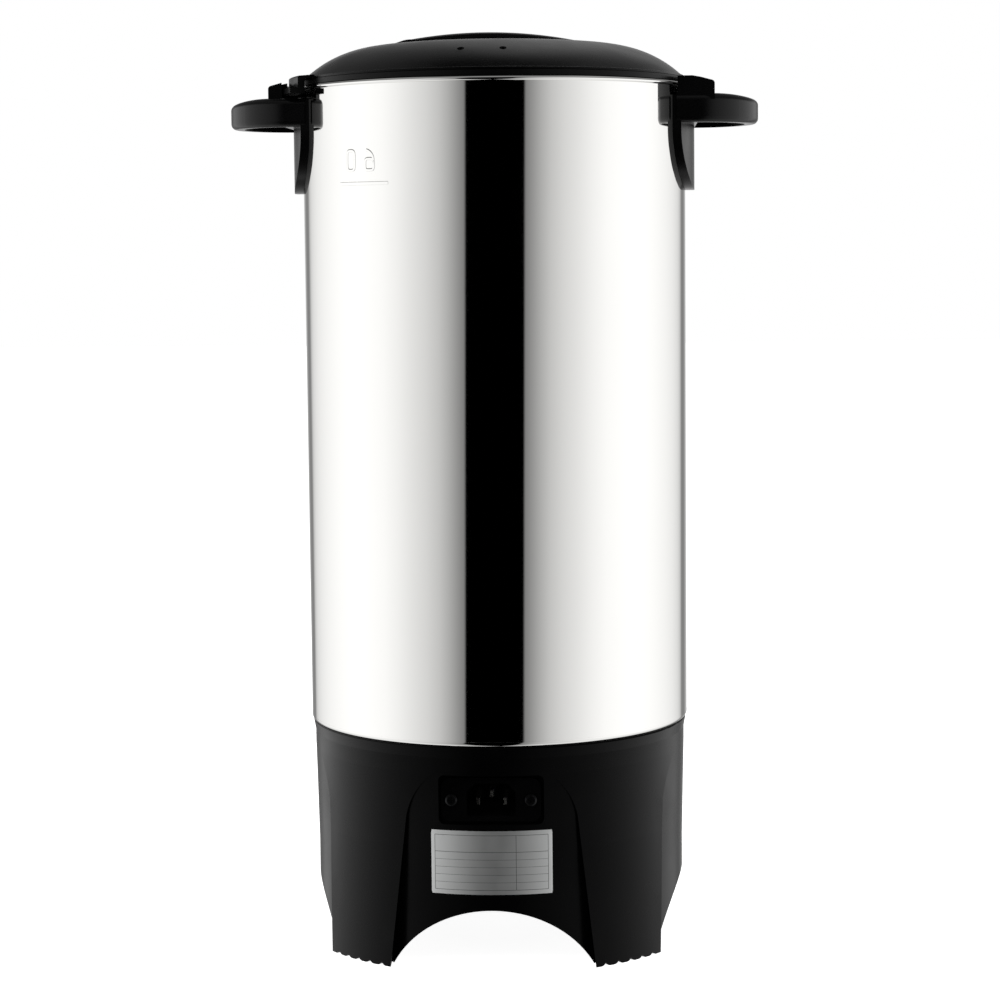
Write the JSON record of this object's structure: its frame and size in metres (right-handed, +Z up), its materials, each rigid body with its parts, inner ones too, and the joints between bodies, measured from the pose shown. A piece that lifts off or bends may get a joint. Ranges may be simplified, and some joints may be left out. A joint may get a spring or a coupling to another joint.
{
  "type": "coffee urn",
  "caption": "Tall cylindrical stainless coffee urn with percolator, twist-lock domed lid, two side handles, legged black base, front tap and sight gauge, rear power inlet.",
  "frame": {"origin": "on the vessel's axis, in the plane of the soles that the urn stands on", "axes": "+Z up; -Y towards the back, where the power inlet is; +Y towards the front, where the tap is; the handles lie on the X axis"},
  "size_m": [0.276, 0.2606, 0.4738],
  "materials": {
    "stainless": "mirror-polished stainless steel",
    "stainless_small": "polished stainless steel",
    "housing_plastic": "satin black moulding",
    "handle_plastic": "satin black moulding",
    "lid_plastic": "satin black moulding",
    "gloss_black": "gloss",
    "nylon": "natural nylon",
    "silicone": "soft matt",
    "zinc": "zinc plated",
    "nickel": "nickel plated",
    "fuse_brass": "tinned",
    "cast_aluminium": "as cast",
    "aluminium_sheet": "satin",
    "element_steel": "heat-darkened",
    "lamp_lens": "translucent gloss",
    "wire_sheath": "woven sleeve",
    "clear_tube": "clear"
  },
  "bodies": {
    "urn": {"vessel": "stainless", "base_housing": "housing_plastic", "bottom_cover": "housing_plastic", "cover_screws": "zinc", "tie_stud": "zinc", "tie_nut": "zinc", "brew_heater": "cast_aluminium", "heat_plate": "aluminium_sheet", "warm_element": "element_steel", "thermostat": "zinc", "thermal_fuse": "fuse_brass", "inlet_socket": "gloss_black", "inlet_blades": "nickel", "inlet_screws": "zinc", "switch_body": "gloss_black", "indicator_lamp": "lamp_lens", "wiring": "wire_sheath", "handle_right": "handle_plastic", "handle_left": "handle_plastic", "handle_screws": "stainless_small", "handle_washers": "silicone", "tap_body": "gloss_black", "tap_gaskets": "silicone", "tap_nut": "nylon", "tap_bonnet": "gloss_black", "lever_pin": "stainless_small", "gauge_tube": "clear_tube", "gauge_seal": "silicone", "gauge_nut": "gloss_black", "gauge_guard": "stainless_small", "gauge_cap": "gloss_black", "gauge_screw": "stainless_small"},
    "pump": {"pump_tube": "aluminium_sheet", "pump_foot": "aluminium_sheet"},
    "valve": {"valve_washer": "stainless_small"},
    "basket": {"basket": "aluminium_sheet"},
    "basket_cover": {"basket_cover": "aluminium_sheet"},
    "lid_seal": {"lid_seal": "silicone"},
    "lid": {"lid": "lid_plastic", "lid_grip": "lid_plastic", "grip_screws": "stainless_small"},
    "switch": {"switch_rocker": "gloss_black"},
    "lever": {"tap_lever": "gloss_black"},
    "stem": {"tap_stem": "nylon", "seat_cup": "silicone", "tap_spring": "stainless_small"}
  },
  "joints": [
    {"name": "pump_lift", "type": "slide", "parent": "urn", "child": "pump", "axis": [0, 0, 1], "range_m": [0, 0.36]},
    {"name": "basket_lift", "type": "slide", "parent": "pump", "child": "basket", "axis": [0, 0, 1], "range_m": [0, 0.12]},
    {"name": "basket_cover_lift", "type": "slide", "parent": "basket", "child": "basket_cover", "axis": [0, 0, 1], "range_m": [0, 0.05]},
    {"name": "lid_lift", "type": "slide", "parent": "basket_cover", "child": "lid_seal", "axis": [0, 0, 1], "range_m": [0, 0.15]},
    {"name": "lid_turn", "type": "hinge", "parent": "lid_seal", "child": "lid", "pos_m": [0, 0, 0.449], "axis": [0, 0, -1], "range_deg": [0, 18]},
    {"name": "valve_rise", "type": "slide", "parent": "pump", "child": "valve", "axis": [0, 0, 1], "range_m": [0, 0.0025]},
    {"name": "switch_press", "type": "hinge", "parent": "urn", "child": "switch", "pos_m": [-0.011, 0.0914, 0.08], "axis": [1, 0, 0], "range_deg": [0, 16]},
    {"name": "tap_pull", "type": "hinge", "parent": "urn", "child": "lever", "pos_m": [0, 0.153, 0.169], "axis": [-1, 0, 0], "range_deg": [0, 32]},
    {"name": "stem_lift", "type": "slide", "parent": "urn", "child": "stem", "axis": [0, 0, 1], "range_m": [0, 0.0051], "stiffness_N_per_m": 600, "springref_m": -0.012, "deforming": ["tap_spring"]}
  ],
  "couplings": [
    {"joint": "tap_pull", "follows": "stem_lift", "rad_per_m": 108.7}
  ]
}
